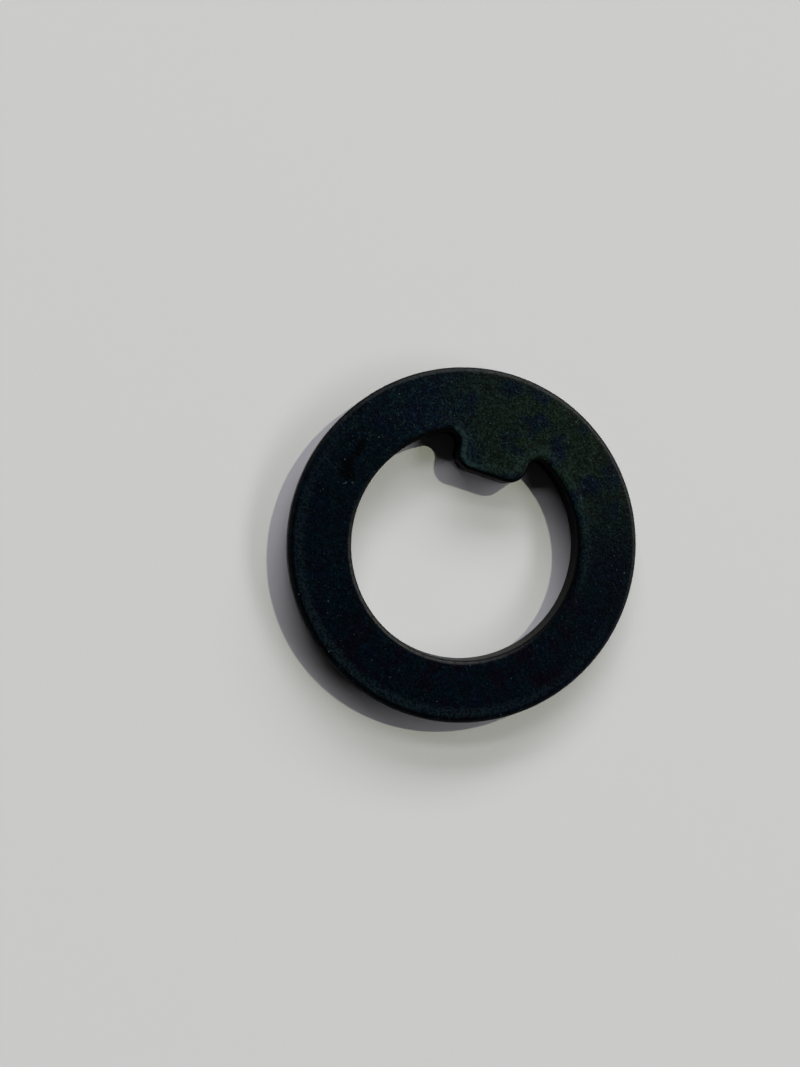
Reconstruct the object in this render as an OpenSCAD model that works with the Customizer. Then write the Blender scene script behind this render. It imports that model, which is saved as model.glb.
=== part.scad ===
// Flat ring gasket with one locating tab that stands into its bore, for a shaft or fitting with a keyway.
// Origin: centre of the bore on the bottom face. +Z up through the ring, +Y towards the tab.

/* [Ring] */
// Outside diameter of the ring
outer_d = 40; // [38:0.5:60]
// Bore diameter, from wall to wall beside the tab
bore_d = 25.9; // [24:0.1:28]
// Thickness from the bottom face to the flat of the top face
thickness = 3; // [2:0.1:6]

/* [Tab] */
// How far the tab's end stands in from the bore wall
tab_length = 4.8; // [4.2:0.1:7]
// Width across the tab's end, as if its corners were square
tab_width = 8.1; // [7.4:0.1:9.4]
// Lean of each side of the tab, outwards towards its root, in degrees
tab_draft = 4; // [0:0.5:10]
// Radius of the two corners at the tab's end
tab_corner_r = 2.1; // [1.5:0.1:2.4]
// Radius of the hollow where each side of the tab runs into the bore wall
tab_root_r = 1.2; // [0.6:0.1:1.6]

/* [Edges] */
// Radius of the tight bend between the top face and every wall
top_edge_r = 0.5; // [0.2:0.05:0.8]
// Width of the soft fall of the top face towards every wall
fall_width = 1.3; // [1:0.05:1.5]
// Radius of that soft fall
fall_r = 10; // [5:0.5:30]
// Radius of the bottom edge of every wall
bottom_edge_r = 0.35; // [0.1:0.05:0.8]

/* [Hidden] */
$fn = 180;

outer_r = outer_d / 2;
bore_r = bore_d / 2;
// Pieces that lie along one wall run past each other by this much, so that they fuse
lap = 0.3;
lap_angle = 4;

// Section of an edge. The soft fall is an arc about fall_c, tangent to the flat of the top face.
// The tight bend is tangent to the wall and to the fall, which has dropped by bend_drop over it.
fall_c = [fall_width, thickness - fall_r];
bend_run = fall_width - top_edge_r;
bend_rise = sqrt(pow(fall_r - top_edge_r, 2) - pow(bend_run, 2));
bend_drop = fall_r - top_edge_r - bend_rise;
bend_y = thickness - top_edge_r - bend_drop;

// Plan of the tab's right half. side_dir runs up its side to the root, side_out points off the side.
end_y = bore_r - tab_length;
end_corner = [tab_width / 2, end_y];
side_dir = [sin(tab_draft), cos(tab_draft)];
side_out = [cos(tab_draft), -sin(tab_draft)];

// The root arc touches the side and the bore wall, so its centre is one radius off each.
root_line = end_corner + tab_root_r * side_out;
root_line_dot = root_line * side_dir;
root_reach = sqrt(pow(root_line_dot, 2) - root_line * root_line + pow(bore_r - tab_root_r, 2));
root_c = root_line + (root_reach - root_line_dot) * side_dir;
root_angle = atan2(root_c.y, root_c.x);
side_end = root_c - tab_root_r * side_out;

// The corner arc touches the end and the side, and leaves at least side_min of the side straight.
side_min = 0.1;
corner_slope = tan(45 - tab_draft / 2);
corner_room = ((side_end - end_corner) * side_dir - side_min) / corner_slope;
corner_r = min(tab_corner_r, corner_room);
corner_c = end_corner + [-corner_r * corner_slope, corner_r];
side_start = corner_c + corner_r * side_out;

// How far each piece of the edge carries on into the body, where its top is flat
bore_band = fall_width + 2 * lap;
outer_band = outer_r - bore_r - fall_width - lap;
end_band = tab_length + bore_band;
root_band = min(root_c.x - tab_root_r, outer_r - bore_r - fall_width);

// Moves in two steps, a round one and the small rest, so that tangent pieces meet closely
module place(v) {
    near = [for (x = v) round(x * 100) / 100];
    translate(near) translate(v - near) children();
}

// Section of the body beside a wall at x = 0, with the top and bottom edges of that wall
module edge_section(width) {
    past = 1;
    difference() {
        square([width, thickness]);
        // soft fall
        difference() {
            translate([-past, fall_c.y]) square([fall_width + past, fall_r + past]);
            translate(fall_c) circle(r = fall_r);
        }
        // tight bend
        difference() {
            polygon([
                [-past, bend_y],
                [top_edge_r, bend_y],
                [top_edge_r, bend_y] + 2 * [-bend_run, bend_rise] * top_edge_r / bend_rise,
                [-past, thickness + past]
            ]);
            translate([top_edge_r, thickness - top_edge_r])
                translate([0, -bend_drop]) circle(r = top_edge_r);
        }
        // bottom edge
        difference() {
            translate([-past, -past]) square(bottom_edge_r + past);
            translate([bottom_edge_r, bottom_edge_r]) circle(r = bottom_edge_r);
        }
    }
}

// Edge along a straight wall on the y axis, from y = 0 up, with the body on its +x side
module straight_edge(length, width) {
    translate([0, length, 0]) rotate([90, 0, 0]) linear_extrude(length) edge_section(width);
}

// Edge along an arc from angle a0 to a1, with the body outside the arc
module hollow_edge(r, a0, a1, width) {
    rotate_extrude(angle = a1 - a0, start = a0)
        translate([r, 0]) edge_section(width);
}

// Edge along an arc from angle a0 to a1, with the body inside the arc
module round_edge(r, a0, a1, width) {
    rotate_extrude(angle = a1 - a0, start = a0)
        intersection() {
            square([r, thickness]);
            translate([r, 0]) mirror([1, 0]) edge_section(width);
        }
}

// Outer wall all round, and the bore wall from one root of the tab round to the other
module ring() {
    round_edge(outer_r, 0, 360, outer_band);
    hollow_edge(bore_r, 180 - root_angle - lap_angle, 360 + root_angle + lap_angle, bore_band);
}

// A little over half of the straight stretch of the tab's right side, upwards for way = 0 and
// downwards for way = -1
module side_piece(way) {
    length = 0.6 * (side_end - side_start) * side_dir;
    rotate([0, 0, -tab_draft])
        mirror([1, 0, 0]) translate([0, way * length, 0]) straight_edge(length, side_start.x);
}

// Right half of the tab, from just past its middle round to the bore wall. Neighbours meet face to face,
// apart from the edge of the bore wall, which runs on under the root's and lies below it there.
module half_tab() {
    place([corner_c.x, end_y]) rotate([0, 0, 90]) straight_edge(corner_c.x + lap, end_band);
    place(corner_c) round_edge(corner_r, -90, -tab_draft, corner_r);
    place(side_start) side_piece(0);
    place(side_end) side_piece(-1);
    place(root_c) hollow_edge(tab_root_r, 180 - tab_draft, root_angle, root_band);
}

module gasket() {
    color([0.05, 0.07, 0.08]) {
        ring();
        half_tab();
        mirror([1, 0, 0]) half_tab();
    }
}

gasket();
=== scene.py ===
import math

import bpy
import numpy as np
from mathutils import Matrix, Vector


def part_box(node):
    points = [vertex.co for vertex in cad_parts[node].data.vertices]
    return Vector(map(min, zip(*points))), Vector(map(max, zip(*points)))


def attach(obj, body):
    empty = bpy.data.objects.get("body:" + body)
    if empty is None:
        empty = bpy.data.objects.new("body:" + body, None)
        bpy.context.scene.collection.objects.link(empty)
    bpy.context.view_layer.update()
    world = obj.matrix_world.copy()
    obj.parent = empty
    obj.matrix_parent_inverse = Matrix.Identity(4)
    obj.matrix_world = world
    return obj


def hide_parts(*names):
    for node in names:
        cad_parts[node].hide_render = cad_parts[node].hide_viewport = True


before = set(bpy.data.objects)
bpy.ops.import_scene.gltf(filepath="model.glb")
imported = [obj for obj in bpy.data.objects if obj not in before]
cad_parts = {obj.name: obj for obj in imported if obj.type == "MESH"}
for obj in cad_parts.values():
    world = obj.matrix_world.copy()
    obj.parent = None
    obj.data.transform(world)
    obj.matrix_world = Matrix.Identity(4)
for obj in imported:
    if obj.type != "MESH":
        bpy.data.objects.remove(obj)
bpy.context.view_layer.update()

# A flat black ring gasket, one moulded piece, with a locating tab that stands into its bore.
# Lengths are in millimetres up to the point where a mesh, a lamp or the camera is made.

MM = 0.001
HIGH = Vector(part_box("gasket")[1]) / MM     # the upper corner of the CAD node's box

# ---------------------------------------------------------------- sizes of the gasket

OUTER_R = HIGH.x                # the ring's outside radius
THICKNESS = HIGH.z              # from the bottom face to the flat of the top face
BORE_R = 12.95                  # bore radius beside the tab
TAB_LENGTH = 4.8                # how far the tab's end stands in from the bore wall
TAB_HALF = 4.05                 # half the width across the tab's end, as if its corners were square
TAB_DRAFT = math.radians(4)     # lean of each side of the tab, outwards towards its root
TAB_CORNER_R = 2.1              # the two corners at the tab's end
TAB_ROOT_R = 1.2                # the hollow where the tab runs into the bore wall
TOP_EDGE_R = 0.5                # tight bend between the top face and a wall
FALL_WIDTH = 1.3                # soft fall of the top face towards a wall
FALL_R = 10.0                   # radius of that fall
BOTTOM_EDGE_R = 0.35            # bottom edge of a wall

# ---------------------------------------------------------------- how fine the mesh is

CONTOUR_STEP = 0.105            # spacing of points along the bore wall and the tab
LEAST_LINE_STEPS = 3            # the fewest points that a straight wall gets
LEAST_ARC_STEPS = 6             # the same for an arc

# Rows of points up an edge, and between the two edges across the top and the bottom face.
BOTTOM_EDGE_ROWS = 5
WALL_ROWS = 6
BEND_ROWS = 10
FALL_ROWS = 9
TOP_ROWS = 44
BOTTOM_ROWS = 8

# ---------------------------------------------------------------- how uneven the moulding is

MOULD_SINK = 0.014              # how deep the moulded skin sinks in its slow waves
MOULD_WAVES = (2.5, 9)          # the shortest and the longest of those waves
WALL_SINK = 0.008               # the same, on the walls and edges
WALL_WAVES = (0.9, 5)
WAVE_COUNT = 28
WAVE_SPREAD = 1.2               # how far the mean of the waves is spread towards its ends
NICK_DEPTH = 0.05               # small knocks on the outer top edge
NICK_WIDTH = 0.22
NICK_DROP = 0.1                 # how far below the top face a knock is centred
NICK_DIRECTIONS = (58, 63, 71, 84, 97, 41, 152, 236)
NICK_STRAY = 2                  # how many degrees a knock may stray from its direction
NICK_INSET = (0.05, 0.3)        # how far in from the rim it lies, at least and at most
NICK_WIDTHS = (0.7, 1.4)        # its width and its depth, as shares of the two above
NICK_DEPTHS = (0.4, 1)

# ---------------------------------------------------------------- where the marks lie

# A side of the ring is a direction in degrees from +X, where the tab stands at 90, and how
# far the mark reaches from it on either hand.
GREEN_SIDE = (67, 60)           # the black turns greenish
PLUM_SIDE = (285, 110)          # it has purplish patches
SHEEN_SIDE = (86, 82)           # painted sheen: towards the lights it is paler and more grainy
LIT_THREAD_SIDE = (86, 100)         # painted glints as threads show most, towards the lights
OUTER_LIT_EDGE_SIDE = (75, 100)     # the outer edge is painted lighter grey: painted highlight where it faces the lights, with some wear
DARK_LINE_SIDE = (75, 90)          # a faint dark line of painted shade follows that edge
INNER_LIT_EDGE_SIDE = (245, 85)     # the bore's edge is painted lighter grey where its bend faces the lights: painted highlight, with some wear
RIM_SHADE_SIDE = (245, 75)         # painted shade: a dark band follows the outer edge, away from the lights
SCUFF_REFLECTION_SIDE = (245, 125)         # the rim is lighter: a painted reflection on its soft fall, with some scuffing
SHADED_HOLLOW_SIDE = (118, 40)         # the hollow beside the tab, whose edge gets the blackest painted shade
RUBBED_SIDE = (60, 80)          # the hole's rim is rubbed lighter
TAB_SIDE = (100, 30)            # the tab, as far as its rim is lighter

# A band follows the ring's rim or the hole's outline. It is the gap from there to where the
# band starts and to where it ends, and how soft both ends are.
RIM_LINE = (0.16, 0.36, 0.08)
OUTER_LIT_EDGE = (0.24, 0.60, 0.13)
DARK_LINE = (0.55, 1.0, 0.15)
INNER_LIT_EDGE = (0.05, 0.50, 0.16)
RIM_SHADE = (0.33, 0.74, 0.14)
RUBBED = (0.35, 1.9, 0.7)
TAB_RIM = (0.28, 1.15, 0.35)

# A fade is the gap or the place at which a mark starts to show, and that at which it is full.
# The first three fade in the painted shade of the walls, of the hollow and of the tab's end.
WALL_FADE = (0.34, 0.16)
HOLLOW_SHADE_FADE = (0.80, 0.42)
TAB_END_SHADE_FADE = (0.66, 0.34)
TAB_END_FROM_RIM = (10.3, 10.9)
RIM_BAND_OUTER_FADE = (0.6, 0.85)
RIM_BAND_INNER_FADE = (2.1, 1.3)
TAB_ROOT_X = (-4.95, -5.45)     # where the tab's left side ends and the hollow begins
TAB_MIDDLE_X = (3.0, -3.5)      # how the tab's lighter rim sets in from right to left

# An oval mark is its middle, its half sizes across and along, and its turn in degrees. Its
# fade is how far out in the oval it starts to show and where it is full, with 1 at its edge.
SMUDGES = (((-15.27, 4.18), (0.75, 1.5), 107), ((-14.7, 6.8), (0.45, 1.2), 70))
SMUDGE_FADE = (1.35, 0.6)
LONG_CHIP = ((-15.18, 2.47), (0.09, 0.16), 60)
ROUND_CHIPS = ((-14.36, 2.90), (-15.90, 5.10))
ROUND_CHIP_R = 0.08
CHIP_FADE = (1.4, 0.6)
SCRATCH = ((-18.75, 5.10), (-15.60, 3.20))
SCRATCH_HALF = 0.1              # half the scratch's width
SCRATCH_FADE = (1.0, 0.4)
RAGGED = 1.6                    # how far the outline of a smudge strays
RAGGED_SCALE = 1.3              # and the scale of the noise that it strays by

# ---------------------------------------------------------------- grain and colours

# A noise is its scale in waves to the millimetre, its detail and its roughness.
GRAIN = (3.6, 2.0, 0.6)
GRAIN_DEPTH = 0.05              # how deep the grain stands as bump
PATCHES = (0.55, 2.0, 0.5)      # patches of blue and teal
DRIFT = (0.3, 3.0, 0.5)         # larger patches of green and plum
DRIFT_SHIFT = (31, 7, 0)        # keeps them apart from the other patches
MOTTLE = (1.1, 3.0, 0.65)       # lighter and darker spots
EDGE_BREAKUP = (1.7, 2.0, 0.5)          # how the lighter edges are broken up

# A level is where in its noise a tint starts to show, and where it is full.
TEAL_LEVEL = (0.38, 0.6)
GREEN_LEVEL = (0.38, 0.52)
PLUM_LEVEL = (0.5, 0.6)

# A shade is two levels of a noise, and how light the black is at each.
MOTTLE_SHADE = (0.25, 0.75, 0.65, 1.35)
GRAIN_LEVEL = (0.35, 0.75)
GRAIN_DARKEST = (0.45, 0.42)    # away from the side of the painted sheen, and on it
GRAIN_LIGHTEST = 2.1
SHEEN_SHADE = (0.78, 1.34)      # painted sheen: away from the lights' side, and on it

# How strongly a mark shows: two levels of a noise, and the mark's share at each.
EDGE_BREAKS = (0.36, 0.56, 0.45, 1.1)
EDGE_GRAIN = (0.3, 0.5, 0.6, 1.0)
RIM_BAND_GRAIN = (0.4, 0.6, 0.15, 1.0)
RUBBED_GRAIN = (0.4, 0.62, 0.08, 0.45)
TAB_RIM_GRAIN = (0.35, 0.6, 0.35, 0.95)
SMUDGE_GRAIN = (0.45, 0.7, 1.0, 0.65)
SCRATCH_GRAIN = (0.3, 0.5, 0.3, 1.0)
RIM_LINE_SHARE = 0.3
DARK_LINE_SHARE = 0.4
CHIP_SHARE = 0.4
WALL_COVER = 0.85               # how far a wall and its painted shade hide the painted glints

THREAD_SCALE = 2.8
THREAD_SHIFT = (5.3, 5.3, 5.3)
THREAD_HALF = (0.036, 0.008)    # how far off 0.5 the noise is where a thread starts and is full
THREAD_BREAKS = (0.5, 0.62)     # the second noise where a thread starts, and where it is full
BREAK_SCALE = 0.6 * THREAD_SCALE
THREAD_SHARE = (0.15, 0.9)      # away from the side where they show most, and on it
SPECK_CORE = 0.35               # the share of a speck's radius over which it is full

DEEP_BLUE = (0.0005, 0.0021, 0.0059)
DEEP_TEAL = (0.0003, 0.0028, 0.0051)
DEEP_GREEN = (0.0025, 0.0057, 0.0034)
DEEP_PLUM = (0.0015, 0.0009, 0.0036)
# Painted shade, on the walls, the hollow, the tab's end and in lines along the rim.
SHADE_BLACK = (0.0006, 0.0007, 0.0009)
DEEP_SMUDGE = (0.0004, 0.0007, 0.0007)
# Painted highlight on edges that face the lights, with some wear.
LIT_AND_WORN_EDGE = (0.0220, 0.0220, 0.0210)
# Painted reflection with scuffing along the rim, and the scratch's colour.
SCUFF_AND_REFLECTION = (0.0048, 0.0095, 0.0125)
# The rubbed rims, and painted glints in threads.
FILLER_AND_GLINT = (0.0145, 0.0285, 0.0285)
# Painted glints in specks, and the pale chips.
GLINT_AND_CHIP = (0.0600, 0.0950, 0.0980)

ROUGHNESS = 0.37
WALL_ROUGHER = 0.03             # how much rougher the walls are
SMUDGE_SMOOTHER = 0.07          # how much smoother a smudge is
RUBBER_GLOSS = 0.048


# ---------------------------------------------------------------- plan of the bore and tab

def unit(angle):
    """The direction at an angle from +X, as an array with x and y in its last axis."""
    return np.stack([np.cos(angle), np.sin(angle)], axis=-1)


def line_piece(start, end, inward):
    """Points along a straight wall from start up to end, and the one direction into the body."""
    start, end = np.array(start, float), np.array(end, float)
    count = max(LEAST_LINE_STEPS, round(np.linalg.norm(end - start) / CONTOUR_STEP))
    share = np.arange(count)[:, None] / count
    return start + share * (end - start), np.tile(np.array(inward, float), (count, 1))


def arc_piece(centre, radius, start, end, side):
    """Points along an arc from angle start up to end. The direction into the body is the
    radial one times side: +1 where the body lies outside the arc, -1 where it lies inside."""
    count = max(LEAST_ARC_STEPS, round(radius * abs(end - start) / CONTOUR_STEP))
    radial = unit(start + (end - start) * np.arange(count) / count)
    return np.array(centre, float) + radius * radial, side * radial


def tab_plan():
    """Centres and directions of the tab's right half. The corner arc touches the end and the
    side; the root arc touches the side and, from within, the bore circle, so its centre lies
    one radius off each: on the line parallel to the side, where it meets BORE_R - TAB_ROOT_R."""
    end_y = BORE_R - TAB_LENGTH
    along = np.array([math.sin(TAB_DRAFT), math.cos(TAB_DRAFT)])
    outward = np.array([math.cos(TAB_DRAFT), -math.sin(TAB_DRAFT)])
    end_corner = np.array([TAB_HALF, end_y])
    slope = math.tan(math.pi / 4 - TAB_DRAFT / 2)
    corner_middle = end_corner + TAB_CORNER_R * np.array([-slope, 1.0])
    start = end_corner + TAB_ROOT_R * outward
    reach = math.sqrt((start @ along) ** 2 - start @ start + (BORE_R - TAB_ROOT_R) ** 2)
    root_middle = start + (reach - start @ along) * along
    root_angle = math.atan2(root_middle[1], root_middle[0])
    return end_y, outward, corner_middle, root_middle, root_angle


def half_hole():
    """Right half of the hole's outline, from the middle of the tab's end clockwise round to
    the foot of the bore, and the turn from +Y at which each piece's start is joined to the
    outer circle. On the tab that turn is a share of the root's own, and the shares are chosen
    so that no join crosses another."""
    end_y, outward, corner_middle, root_middle, root_angle = tab_plan()
    pieces = [
        line_piece((0, end_y), (corner_middle[0], end_y), (0, 1)),
        arc_piece(corner_middle, TAB_CORNER_R, -math.pi / 2, -TAB_DRAFT, -1),
        line_piece(corner_middle + TAB_CORNER_R * outward, root_middle - TAB_ROOT_R * outward,
                   -outward),
        arc_piece(root_middle, TAB_ROOT_R, math.pi - TAB_DRAFT, root_angle, 1),
        arc_piece((0, 0), BORE_R, root_angle, -math.pi / 2, 1),
    ]
    root_turn = math.pi / 2 - root_angle
    shares = (0, 0.16, 0.28, 0.32, 1)
    return pieces, [share * root_turn for share in shares] + [math.pi]


def outline():
    """The whole outline of the hole as points, directions into the body and joining turns."""
    pieces, turns = half_hole()
    points = np.concatenate([path for path, _ in pieces] + [[[0, -BORE_R]]])
    inward = np.concatenate([heading for _, heading in pieces] + [[[0, -1]]])
    turn = np.concatenate([
        np.linspace(first, last, len(path), endpoint=False)
        for (path, _), first, last in zip(pieces, turns[:-1], turns[1:])
    ] + [[math.pi]])
    flip = np.array([-1.0, 1.0])
    back = slice(-2, 0, -1)
    return (np.concatenate([points, points[back] * flip]),
            np.concatenate([inward, inward[back] * flip]),
            np.concatenate([turn, 2 * math.pi - turn[back]]))


# ---------------------------------------------------------------- section of an edge

def edge_profile():
    """Section of an edge from the bottom face up to the flat of the top face, as distance from
    the wall into the body and height. Bottom edge: a quarter circle. Wall: straight up. Bend:
    an arc of TOP_EDGE_R that starts upright and ends where it touches the fall. Fall: an arc
    of FALL_R about a centre FALL_WIDTH in and FALL_R below the flat, so it ends level."""
    run = FALL_WIDTH - TOP_EDGE_R
    rise = math.sqrt((FALL_R - TOP_EDGE_R) ** 2 - run ** 2)
    bend_z = THICKNESS - FALL_R + rise
    meet = math.atan2(rise, -run)
    bottom = np.linspace(1.5 * math.pi, math.pi, BOTTOM_EDGE_ROWS, endpoint=False)
    bend = np.linspace(math.pi, meet, BEND_ROWS, endpoint=False)
    fall = np.linspace(meet, math.pi / 2, FALL_ROWS)
    wall = np.linspace(BOTTOM_EDGE_R, bend_z, WALL_ROWS, endpoint=False)
    return np.concatenate([
        BOTTOM_EDGE_R * (1 + unit(bottom)),
        np.stack([np.zeros(WALL_ROWS), wall], axis=-1),
        np.array([TOP_EDGE_R, bend_z]) + TOP_EDGE_R * unit(bend),
        np.array([FALL_WIDTH, THICKNESS - FALL_R]) + FALL_R * unit(fall),
    ])


# ---------------------------------------------------------------- unevenness of the moulding

def slow_waves(points, shortest, longest, seed):
    """A smooth field between 0 and 1: the mean of cosine waves over x, y and z, with random
    directions and phases and with lengths between shortest and longest, spread by a sine."""
    dice = np.random.default_rng(seed)
    heading = dice.normal(size=(WAVE_COUNT, 3))
    heading /= np.linalg.norm(heading, axis=1, keepdims=True)
    length = shortest * (longest / shortest) ** dice.random(WAVE_COUNT)
    start = 2 * math.pi * dice.random(WAVE_COUNT)
    phase = points @ (heading * (2 * math.pi / length)[:, None]).T + start
    return 0.5 + 0.5 * np.sin(WAVE_SPREAD * math.sqrt(WAVE_COUNT) * np.cos(phase).mean(axis=-1))


def nick_field(points):
    """Small round dents on the outer top edge: the strongest of bell curves about each place,
    each with its own random width and depth."""
    dice = np.random.default_rng(seed=7)
    field = np.zeros(points.shape[:-1])
    for direction in NICK_DIRECTIONS:
        angle = math.radians(direction + dice.uniform(-NICK_STRAY, NICK_STRAY))
        inset = dice.uniform(*NICK_INSET)
        width = dice.uniform(*NICK_WIDTHS)
        depth = dice.uniform(*NICK_DEPTHS)
        place = np.array([*(OUTER_R - inset) * unit(angle), THICKNESS - NICK_DROP])
        far = np.linalg.norm(points - place, axis=-1) / (NICK_WIDTH * width)
        field = np.maximum(field, depth * np.exp(-far ** 2))
    return field


def sunk(grid, outward):
    """The grid with each point drawn in along its own outward direction: by slow waves over
    the faces, finer waves on the walls, and the nicks."""
    level = np.clip(outward[..., 2], 0, 1)
    upright = 1 - np.abs(outward[..., 2])
    depth = (MOULD_SINK * level * slow_waves(grid, *MOULD_WAVES, seed=3)
             + WALL_SINK * upright * slow_waves(grid, *WALL_WAVES, seed=5)
             + NICK_DEPTH * nick_field(grid))
    return grid - depth[..., None] * outward


# ---------------------------------------------------------------- the body

def body_grid():
    """Every point of the closed skin on a grid: one column for each point of the hole's outline,
    and rows that run up the hole's edge, across the top face, down the outer edge and back
    across the bottom face. On an edge the plan point is the wall point plus its distance into
    the body times the inward direction; across a face it is a straight mix of both edges."""
    hole, inward, turn = outline()
    out = unit(math.pi / 2 - turn)
    profile = edge_profile()
    gap, height = profile[:, 0][:, None, None], profile[:, 1][:, None]
    hole_edge = hole + gap * inward
    outer_edge = out * (OUTER_R - gap)
    level = np.ones(len(hole))

    def across(start, end, rows):
        """Rows of plan points between two edges, both left out."""
        share = np.linspace(0, 1, rows + 2)[1:-1, None, None]
        return start * (1 - share) + end * share

    top = across(hole_edge[-1], outer_edge[-1], TOP_ROWS)
    bottom = across(outer_edge[0], hole_edge[0], BOTTOM_ROWS)
    plan = np.concatenate([hole_edge, top, outer_edge[::-1], bottom])
    z = np.concatenate([height * level, np.full(top.shape[:2], THICKNESS),
                        height[::-1] * level, np.zeros(bottom.shape[:2])])
    return np.concatenate([plan, z[..., None]], axis=-1), hole


def outward_directions(grid):
    """Unit normals of a grid that closes on itself both ways: the cross product of the steps
    along its columns and along its rows, each taken between the two neighbours."""
    around = np.roll(grid, -1, axis=1) - np.roll(grid, 1, axis=1)
    across = np.roll(grid, -1, axis=0) - np.roll(grid, 1, axis=0)
    normal = np.cross(around, across)
    return normal / np.linalg.norm(normal, axis=-1, keepdims=True)


def hole_gaps(grid, hole):
    """Each point's distance in plan from the hole's outline, taken row by row."""
    return np.stack([
        np.linalg.norm(row[:, None, :2] - hole[None], axis=-1).min(axis=1) for row in grid
    ])


def grid_faces(rows, columns):
    """Quads of a grid that closes on itself both ways, turned so that they face outwards."""
    row, column = np.meshgrid(np.arange(rows), np.arange(columns), indexing="ij")
    up, on = (row + 1) % rows, (column + 1) % columns
    quad = [row * columns + column, row * columns + on, up * columns + on, up * columns + column]
    return np.stack(quad, axis=-1).reshape(-1, 4)


def mesh_object(name, points, faces):
    """A smooth mesh object from arrays of points in metres and of quads."""
    mesh = bpy.data.meshes.new(name)
    mesh.vertices.add(len(points))
    mesh.vertices.foreach_set("co", points.astype(np.float32).ravel())
    mesh.loops.add(faces.size)
    mesh.loops.foreach_set("vertex_index", faces.astype(np.int32).ravel())
    mesh.polygons.add(len(faces))
    mesh.polygons.foreach_set("loop_start", np.arange(0, faces.size, 4, dtype=np.int32))
    mesh.polygons.foreach_set("use_smooth", np.ones(len(faces), bool))
    mesh.update(calc_edges=True)
    mesh.validate()
    piece = bpy.data.objects.new(name, mesh)
    bpy.context.scene.collection.objects.link(piece)
    return piece


def gasket_body():
    """The whole gasket, with each point's distance from the hole kept as an attribute."""
    grid, hole = body_grid()
    gaps = hole_gaps(grid, hole)
    grid = sunk(grid, outward_directions(grid))
    piece = mesh_object("gasket_body", grid.reshape(-1, 3) * MM, grid_faces(*grid.shape[:2]))
    layer = piece.data.attributes.new("hole_gap", "FLOAT", "POINT")
    layer.data.foreach_set("value", gaps.astype(np.float32).ravel())
    return piece


# ---------------------------------------------------------------- nodes

class Graph:
    """Short ways to add shader nodes to one tree. Every call returns an output socket."""

    def __init__(self, tree):
        self.tree = tree

    def add(self, kind, sockets=(), output=0, **settings):
        """A node with its settings, and with a value or a link for each socket named."""
        node = self.tree.nodes.new(kind)
        for name, value in settings.items():
            setattr(node, name, value)
        for socket, value in dict(sockets).items():
            self.join(value, node.inputs[socket])
        return node.outputs[output]

    def join(self, value, socket):
        """A socket fed by another one, or set to a constant."""
        if isinstance(value, bpy.types.NodeSocket):
            self.tree.links.new(value, socket)
        else:
            socket.default_value = value

    def number(self, operation, a, b=0.0):
        """One or two numbers worked with by an operation of the Math node."""
        return self.add("ShaderNodeMath", {0: a, 1: b}, operation=operation)

    def vector(self, operation, a, b=(0, 0, 0), output=0):
        """The same for places, directions and colours."""
        return self.add("ShaderNodeVectorMath", {0: a, 1: b}, output, operation=operation)

    def product(self, first, *others):
        """Values multiplied with each other from left to right."""
        for other in others:
            first = self.number("MULTIPLY", first, other)
        return first

    def larger(self, a, b):
        """The larger of two numbers."""
        return self.number("MAXIMUM", a, b)

    def smaller(self, a, b):
        """The smaller of two numbers."""
        return self.number("MINIMUM", a, b)

    def ramp(self, value, low, high, to_low=0.0, to_high=1.0):
        """A smooth step from to_low at value low to to_high at value high."""
        return self.add("ShaderNodeMapRange", {"Value": value, "From Min": low, "From Max": high,
                                               "To Min": to_low, "To Max": to_high},
                        interpolation_type="SMOOTHSTEP")

    def noise(self, place, scale, detail=1.0, roughness=0.5, output="Fac"):
        """A noise around 0.5, with scale waves to the unit of the place."""
        return self.add("ShaderNodeTexNoise", {"Vector": place, "Scale": scale, "Detail": detail,
                                               "Roughness": roughness}, output)

    def mix(self, share, a, b):
        """Colour a turned into colour b by share."""
        a, b = (c if isinstance(c, bpy.types.NodeSocket) else (*c, 1) for c in (a, b))
        return self.add("ShaderNodeMix", {"Factor": share, "A": a, "B": b}, 2, data_type="RGBA")


class Skin(Graph):
    """The gasket's shader tree, with what its marks are laid out by: the place in millimetres,
    its gap in plan from the hole's outline and from the ring's rim, and the rubber's grain."""

    def __init__(self, tree):
        super().__init__(tree)
        position = self.add("ShaderNodeTexCoord", output="Object")
        self.place = self.vector("MULTIPLY", position, (1 / MM, 1 / MM, 1 / MM))
        self.plan = self.vector("MULTIPLY", self.place, (1, 1, 0))
        self.x = self.add("ShaderNodeSeparateXYZ", {"Vector": self.place}, "X")
        self.hole_gap = self.add("ShaderNodeAttribute", output="Fac", attribute_name="hole_gap")
        reach = self.vector("LENGTH", self.plan, output="Value")
        self.rim_gap = self.number("SUBTRACT", OUTER_R, reach)
        self.grain = self.noise(self.place, *GRAIN)

    def toward(self, side):
        """1 in the direction of a side, falling to 0 where the side's reach ends."""
        direction, reach = side
        heading = self.vector("NORMALIZE", self.plan)
        facing = self.vector("DOT_PRODUCT", heading, (*unit(math.radians(direction)), 0), "Value")
        return self.ramp(facing, math.cos(math.radians(reach)), 1.0)

    def band(self, gap, start, end, soft):
        """1 where the gap lies between start and end, with soft ends."""
        return self.product(self.ramp(gap, start, start + soft), self.ramp(gap, end, end - soft))

    def shifted(self, *shift):
        """The place moved by a shift, for a noise that has nothing to do with the others."""
        return self.vector("ADD", self.place, shift)

    def oval(self, place, centre, half_sizes, turn):
        """How far out a place on the top face is in an oval: 0 at its middle and 1 at its edge,
        as the root of the summed squares of its two distances over the oval's half sizes."""
        along = unit(math.radians(turn))
        away = self.vector("SUBTRACT", place, (*centre, 0))
        squares = []
        for direction, half in zip(((-along[1], along[0], 0), (*along, 0)), half_sizes):
            distance = self.vector("DOT_PRODUCT", away, direction, "Value")
            share = self.number("ABSOLUTE", self.number("DIVIDE", distance, half))
            squares.append(self.number("POWER", share, 2.0))
        return self.number("SQRT", self.number("ADD", *squares))


# ---------------------------------------------------------------- the rubber's layers

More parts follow.
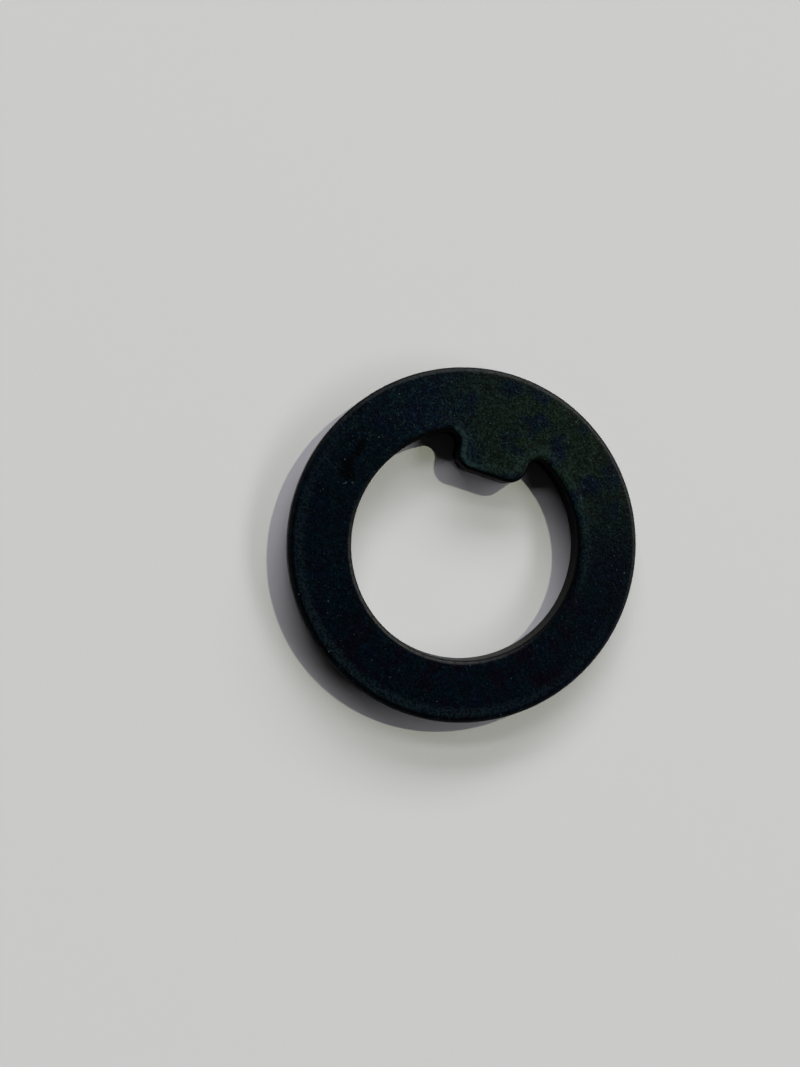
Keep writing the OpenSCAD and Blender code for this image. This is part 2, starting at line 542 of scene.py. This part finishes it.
def tints(skin):
    """The rubber's own black: blue in patches of teal, green on one side and plum on another,
    and lighter and darker with the mottle and the grain. Towards the lights it is paler and its
    grain
    stronger: a painted sheen."""
    patches = skin.noise(skin.place, *PATCHES)
    drift = skin.noise(skin.shifted(*DRIFT_SHIFT), *DRIFT)
    mottle = skin.noise(skin.place, *MOTTLE)
    sheen = skin.toward(SHEEN_SIDE)
    green = skin.product(skin.toward(GREEN_SIDE), skin.ramp(drift, *GREEN_LEVEL))
    plum = skin.product(skin.toward(PLUM_SIDE), skin.ramp(drift, *PLUM_LEVEL))
    colour = skin.mix(skin.ramp(patches, *TEAL_LEVEL), DEEP_BLUE, DEEP_TEAL)
    colour = skin.mix(green, colour, DEEP_GREEN)
    colour = skin.mix(plum, colour, DEEP_PLUM)
    darkest = skin.ramp(sheen, 0.0, 1.0, *GRAIN_DARKEST)
    shade = skin.product(skin.ramp(mottle, *MOTTLE_SHADE),
                         skin.ramp(skin.grain, *GRAIN_LEVEL, darkest, GRAIN_LIGHTEST),
                         skin.ramp(sheen, 0.0, 1.0, *SHEEN_SHADE))
    return skin.add("ShaderNodeVectorMath", {0: colour, "Scale": shade}, operation="SCALE")


def left_of_tab(skin):
    """1 to the left of the tab's left side and 0 to its right."""
    return skin.ramp(skin.x, *TAB_ROOT_X)


def painted_shade(skin):
    """Painted shade: the walls, and the edge of the hollow on the tab's left and of the tab's end,
    shaded as black as the walls under them."""
    wall = skin.ramp(skin.smaller(skin.hole_gap, skin.rim_gap), *WALL_FADE)
    hollow_shade = skin.product(skin.ramp(skin.hole_gap, *HOLLOW_SHADE_FADE), skin.toward(SHADED_HOLLOW_SIDE),
                          left_of_tab(skin))
    tab_end_shade = skin.product(skin.ramp(skin.hole_gap, *TAB_END_SHADE_FADE),
                           skin.ramp(skin.rim_gap, *TAB_END_FROM_RIM))
    return skin.larger(wall, skin.larger(hollow_shade, tab_end_shade))


def lit_and_worn_edges(skin):
    """The edges painted lighter grey in a broken band: a painted highlight where the bends face the
    lights, with some wear, and a faint painted highlight line on the crown all round the rim."""
    outer = skin.product(skin.band(skin.rim_gap, *OUTER_LIT_EDGE), skin.toward(OUTER_LIT_EDGE_SIDE))
    line = skin.product(skin.band(skin.rim_gap, *RIM_LINE), RIM_LINE_SHARE)
    inner = skin.product(skin.band(skin.hole_gap, *INNER_LIT_EDGE), skin.toward(INNER_LIT_EDGE_SIDE))
    broken = skin.ramp(skin.noise(skin.place, *EDGE_BREAKUP), *EDGE_BREAKS)
    return skin.product(skin.larger(skin.larger(outer, line), inner), broken,
                        skin.ramp(skin.grain, *EDGE_GRAIN))


def rim_shade_lines(skin):
    """Painted shade: a dark band along the rim away from the lights, and a fainter dark line along
    the other side.
    """
    rim_shade = skin.product(skin.band(skin.rim_gap, *RIM_SHADE), skin.toward(RIM_SHADE_SIDE))
    dark_line = skin.product(skin.band(skin.rim_gap, *DARK_LINE), skin.toward(DARK_LINE_SIDE),
                          DARK_LINE_SHARE)
    return skin.larger(rim_shade, dark_line)


def scuffs_and_reflection(skin):
    """A lighter band along the rim away from the lights: a painted reflection on its soft fall,
    with some scuffing.
    """
    return skin.product(skin.ramp(skin.rim_gap, *RIM_BAND_OUTER_FADE),
                        skin.ramp(skin.rim_gap, *RIM_BAND_INNER_FADE),
                        skin.toward(SCUFF_REFLECTION_SIDE), skin.ramp(skin.grain, *RIM_BAND_GRAIN))


def rubbed_rims(skin):
    """The lighter rim of the hole on one side, and that of the tab."""
    hole_rim = skin.product(skin.band(skin.hole_gap, *RUBBED), skin.toward(RUBBED_SIDE),
                            skin.ramp(skin.grain, *RUBBED_GRAIN))
    on_tab = skin.product(skin.number("SUBTRACT", 1.0, left_of_tab(skin)),
                          skin.ramp(skin.x, *TAB_MIDDLE_X))
    tab_rim = skin.product(skin.band(skin.hole_gap, *TAB_RIM), on_tab, skin.toward(TAB_SIDE),
                           skin.ramp(skin.grain, *TAB_RIM_GRAIN))
    return skin.larger(hole_rim, tab_rim)


def glint_threads(skin):
    """Painted glints as short curved threads, most towards the lights: the lines along which one
    noise is at its middle value, broken up by a second, coarser noise."""
    place = skin.shifted(*THREAD_SHIFT)
    above_middle = skin.number("SUBTRACT", skin.noise(place, THREAD_SCALE), 0.5)
    off_middle = skin.number("ABSOLUTE", above_middle)
    shown = skin.ramp(skin.noise(place, BREAK_SCALE), *THREAD_BREAKS)
    toward_lights = skin.ramp(skin.toward(LIT_THREAD_SIDE), 0.0, 1.0, *THREAD_SHARE)
    return skin.product(skin.ramp(off_middle, *THREAD_HALF), shown, toward_lights)


def specks(skin, scale, radius, share, strength, seed):
    """Painted glints as bright specks: round dots in random cells, of which only a share light up.
    """
    sockets = {"Vector": skin.shifted(seed, seed, seed), "Scale": scale}
    away = skin.add("ShaderNodeTexVoronoi", sockets, "Distance")
    chance = skin.add("ShaderNodeSeparateColor",
                      {"Color": skin.add("ShaderNodeTexVoronoi", sockets, "Color")})
    dots = skin.ramp(away, radius * scale, SPECK_CORE * radius * scale)
    return skin.product(dots, skin.ramp(chance, 1.0 - share, 1.0), strength)


def glints(skin):
    """Painted glints: many faint specks and a few bright ones."""
    faint = specks(skin, scale=2.6, radius=0.08, share=0.45, strength=0.32, seed=3.1)
    bright = specks(skin, scale=1.2, radius=0.085, share=0.45, strength=0.95, seed=9.7)
    return skin.larger(faint, bright)


def ragged_place(skin):
    """The place strayed in plan by a noise, which makes an outline ragged."""
    stray = skin.noise(skin.place, RAGGED_SCALE, detail=3.0, output="Color")
    stray = skin.vector("SUBTRACT", stray, (0.5, 0.5, 0.5))
    return skin.vector("ADD", skin.place, skin.vector("MULTIPLY", stray, (RAGGED, RAGGED, 0)))


def smudges(skin, ragged):
    """Two dark smudges, a large one and a narrow one."""
    out = skin.smaller(*(skin.oval(ragged, *each) for each in SMUDGES))
    return skin.product(skin.ramp(out, *SMUDGE_FADE), skin.ramp(skin.grain, *SMUDGE_GRAIN))


def chips(skin, ragged):
    """A few pale chips beside the smudges."""
    size = (ROUND_CHIP_R, ROUND_CHIP_R)
    round_ones = skin.smaller(*(skin.oval(skin.place, middle, size, 0) for middle in ROUND_CHIPS))
    out = skin.smaller(skin.oval(ragged, *LONG_CHIP), round_ones)
    return skin.ramp(out, *CHIP_FADE, 0.0, CHIP_SHARE)


def scratch(skin):
    """A fine scratch, as a long thin oval from one end to the other."""
    start, end = (Vector(point) for point in SCRATCH)
    along = end - start
    turn = math.degrees(math.atan2(along.y, along.x))
    out = skin.oval(skin.place, (start + end) / 2, (SCRATCH_HALF, along.length / 2), turn)
    return skin.product(skin.ramp(out, *SCRATCH_FADE), skin.ramp(skin.grain, *SCRATCH_GRAIN))


# ---------------------------------------------------------------- materials

def new_material(name, colour, roughness, gloss):
    """A material of one plain finish, and its shader."""
    material = bpy.data.materials.new(name)
    material.use_nodes = True
    shader = material.node_tree.nodes["Principled BSDF"]
    shader.inputs["Base Color"].default_value = (*colour, 1)
    shader.inputs["Roughness"].default_value = roughness
    shader.inputs["Specular IOR Level"].default_value = gloss
    return material, shader


def rubber_material():
    """Matt black rubber. Each layer covers the ones before it with its colour, by its share."""
    material, shader = new_material("black_rubber", DEEP_BLUE, ROUGHNESS, RUBBER_GLOSS)
    skin = Skin(material.node_tree)
    ragged = ragged_place(skin)
    # wall is painted shade on the walls, the hollow and the tab's end; it also makes them rougher
    # and hides the painted glints there.
    wall = painted_shade(skin)
    smudge = smudges(skin, ragged)
    open_face = skin.number("SUBTRACT", 1.0, skin.product(wall, WALL_COVER))
    # Among the rubber's own marks lie painted shade, a painted highlight and reflection on the
    # edges, and painted glints.
    layers = (
        (wall, SHADE_BLACK),
        (lit_and_worn_edges(skin), LIT_AND_WORN_EDGE),
        (rim_shade_lines(skin), SHADE_BLACK),
        (scuffs_and_reflection(skin), SCUFF_AND_REFLECTION),
        (rubbed_rims(skin), FILLER_AND_GLINT),
        (skin.product(glint_threads(skin), open_face), FILLER_AND_GLINT),
        (skin.product(glints(skin), open_face), GLINT_AND_CHIP),
        (smudge, DEEP_SMUDGE),
        (chips(skin, ragged), GLINT_AND_CHIP),
        (scratch(skin), SCUFF_AND_REFLECTION),
    )
    colour = tints(skin)
    for share, cover in layers:
        colour = skin.mix(share, colour, cover)

    rough = skin.number("ADD", ROUGHNESS, skin.product(wall, WALL_ROUGHER))
    rough = skin.number("SUBTRACT", rough, skin.product(smudge, SMUDGE_SMOOTHER))
    bump = skin.add("ShaderNodeBump", {"Height": skin.grain, "Strength": 1.0,
                                       "Distance": GRAIN_DEPTH * MM})
    skin.join(colour, shader.inputs["Base Color"])
    skin.join(rough, shader.inputs["Roughness"])
    skin.join(bump, shader.inputs["Normal"])
    return material


# ---------------------------------------------------------------- the studio

TAB_TURN = 17.18                # how far the tab is turned clockwise from the view's upright
FLOOR_GREY = 0.583
FLOOR_ROUGHNESS = 0.9
FLOOR_GLOSS = 0.1
FLOOR_HALF = 1500
FLOOR_DROP = 0.01               # how far the floor lies below the bottom face
PANEL_HEIGHT = 6000
SHADOW_HEIGHT = 3               # the height that the panels' places and sizes are given for
COOL_LIGHT = (0.995, 0.99, 1.07)
KEY_LIGHT = (0.99, 1.02, 0.80)
AIR_GREY = 0.57                 # how pale the air looks, in a direct look and in reflections
AIR_LIGHT = 0.01                # how much light it gives
AIR_FADE = (0.05, 0.35)         # between which heights its reflection fades out
CAMERA_PLACE = (-25.299, -3.845, 118.017)
CAMERA_TURN = (-1.1835, -8.7639, 17.1842)
SENSOR_HEIGHT = 36
FOCAL_LENGTH = 35.43


def studio_floor():
    """A flat square of floor, just below the bottom face."""
    half = FLOOR_HALF
    corners = np.array([(-half, -half), (half, -half), (half, half), (-half, half)], float)
    points = np.concatenate([corners, np.full((4, 1), -FLOOR_DROP)], axis=1)
    floor = mesh_object("studio_floor", points * MM, np.array([[0, 1, 2, 3]]))
    material, _ = new_material("pale_floor", (FLOOR_GREY,) * 3, FLOOR_ROUGHNESS, FLOOR_GLOSS)
    floor.data.materials.append(material)


def panel_reach(middle, size):
    """The mean over a panel of sin(elevation)^4, as seen from the floor under the gasket."""
    u, v = np.meshgrid(*(np.linspace(-0.5, 0.5, 9),) * 2)
    x, y = middle[0] + u * size[0], middle[1] + v * size[1]
    return np.mean((SHADOW_HEIGHT ** 2 / (SHADOW_HEIGHT ** 2 + x ** 2 + y ** 2)) ** 2)


def panel(name, middle, size, share, colour=COOL_LIGHT):
    """A light panel that faces down from PANEL_HEIGHT. Its middle and its size are given for
    SHADOW_HEIGHT, the gasket's own height, so they are also how far its shadows fall. It gives
    share of the light level at which a colour renders as written: power P over a panel at
    height H lights the floor to P times panel_reach, over (pi H)^2."""
    height = PANEL_HEIGHT * MM
    turn = math.radians(TAB_TURN)
    data = bpy.data.lights.new(name, "AREA")
    data.shape = "RECTANGLE"
    data.size, data.size_y = (side / SHADOW_HEIGHT * height for side in size)
    data.energy = share * (math.pi * height) ** 2 / panel_reach(middle, size)
    data.color = colour
    light = bpy.data.objects.new(name, data)
    x, y = (side / SHADOW_HEIGHT * height for side in middle)
    light.location = (x * math.cos(turn) - y * math.sin(turn),
                      x * math.sin(turn) + y * math.cos(turn), height)
    light.rotation_euler = (0, 0, turn)
    light.visible_camera = False
    bpy.context.scene.collection.objects.link(light)


def studio_lights():
    """A small key panel and four long ones round the far side and the right."""
    panel("key_panel", (2.47, 1.69), (0.12, 0.12), 0.315, KEY_LIGHT)
    panel("far_panel", (0.26, 3.62), (5.4, 1.1), 0.155)
    panel("right_panel", (5.19, 0.07), (2.0, 6.6), 0.20)
    panel("back_panel", (0.76, 7.02), (7.2, 2.3), 0.19)
    panel("corner_panel", (4.32, 10.1), (10.5, 4.3), 0.14)


def studio_air():
    """Nearly dark air, so that the panels alone light the part. A direct look at it shows the
    floor's pale grey, and so does a reflection of its lowest part, fading out with height."""
    world = bpy.data.worlds.new("studio_air")
    world.use_nodes = True
    graph = Graph(world.node_tree)
    way = graph.add("ShaderNodeTexCoord", output="Generated")
    height = graph.add("ShaderNodeSeparateXYZ", {"Vector": way}, "Z")
    seen = graph.add("ShaderNodeLightPath", output="Is Camera Ray")
    mirrored = graph.product(graph.add("ShaderNodeLightPath", output="Is Glossy Ray"),
                             graph.ramp(height, *AIR_FADE, 1.0, 0.0))
    pale = graph.product(graph.larger(seen, mirrored), AIR_GREY)
    air = world.node_tree.nodes["Background"]
    air.inputs["Color"].default_value = (1, 1, 1, 1)
    graph.join(graph.number("ADD", pale, AIR_LIGHT), air.inputs["Strength"])
    bpy.context.scene.world = world


def camera():
    """Looks down on the ring from its left, a little below the middle of the tab's side."""
    data = bpy.data.cameras.new("camera")
    data.sensor_fit = "VERTICAL"
    data.sensor_height = SENSOR_HEIGHT
    data.lens = FOCAL_LENGTH
    data.clip_start = 5 * MM
    view = bpy.data.objects.new("camera", data)
    view.location = Vector(CAMERA_PLACE) * MM
    view.rotation_euler = [math.radians(turn) for turn in CAMERA_TURN]
    bpy.context.scene.collection.objects.link(view)
    bpy.context.scene.camera = view


# ---------------------------------------------------------------- assembly

body = gasket_body()
body.data.materials.append(rubber_material())
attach(body, "root")
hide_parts("gasket")

studio_floor()
studio_lights()
studio_air()
camera()
bpy.context.scene.view_settings.view_transform = "Standard"
